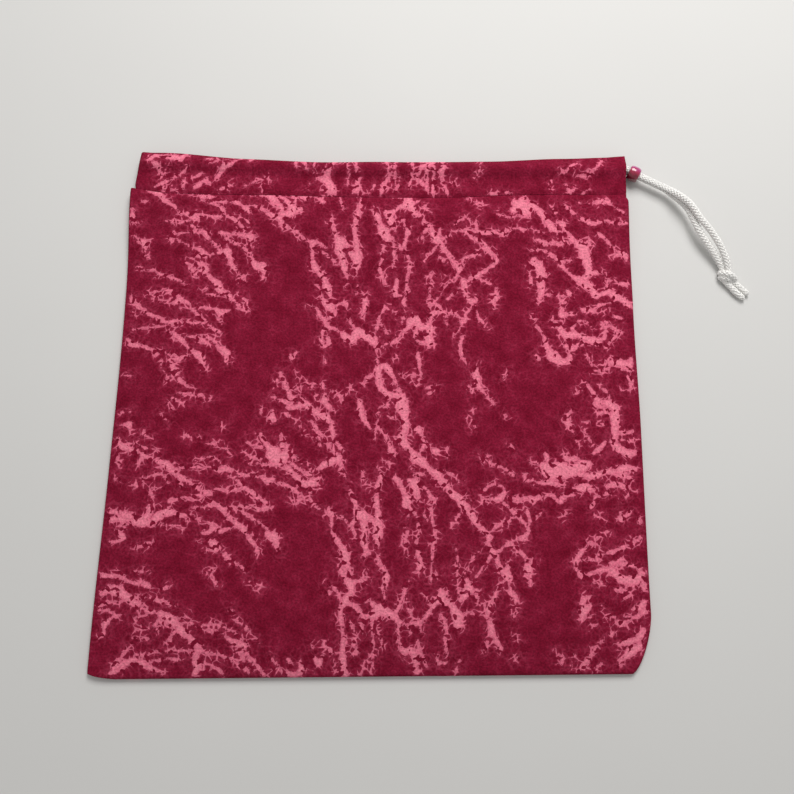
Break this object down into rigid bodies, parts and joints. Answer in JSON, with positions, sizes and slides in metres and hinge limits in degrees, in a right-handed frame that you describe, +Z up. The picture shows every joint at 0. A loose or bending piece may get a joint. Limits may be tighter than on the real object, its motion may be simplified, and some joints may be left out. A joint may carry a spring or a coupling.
{
  "type": "drawstring gym bag",
  "caption": "Flat square cloth bag with a cord casing round its mouth, a drawcord knotted at its ends and a sliding bead that holds the mouth shut.",
  "frame": {"origin": "centre of the bag's footprint on the surface it lies on, measured without the cord and its bead", "axes": "+Z up from the back panel to the front panel, +Y from the bottom seam to the mouth, +X along the mouth to the end where the cord comes out"},
  "size_m": [0.3688, 0.2993, 0.0145],
  "materials": {
    "flannel": "brushed cotton flannel, burgundy with a pink crackle print",
    "drawcord": "white braided polyester cord",
    "bead": "moulded ruby acrylic with a pearl lustre"
  },
  "bodies": {
    "bag": {"bag_body": "flannel", "casing_band": "flannel", "drawcord_in_casing": "drawcord", "drawcord_front_strand": "drawcord", "drawcord_back_strand": "drawcord", "drawcord_knot": "drawcord", "drawcord_front_tail": "drawcord", "drawcord_back_tail": "drawcord"},
    "bead": {"cord_bead": "bead"}
  },
  "joints": [
    {"name": "bead_slide", "type": "slide", "parent": "bag", "child": "bead", "axis": [0.891, -0.454, 0], "range_m": [0, 0.018]}
  ]
}
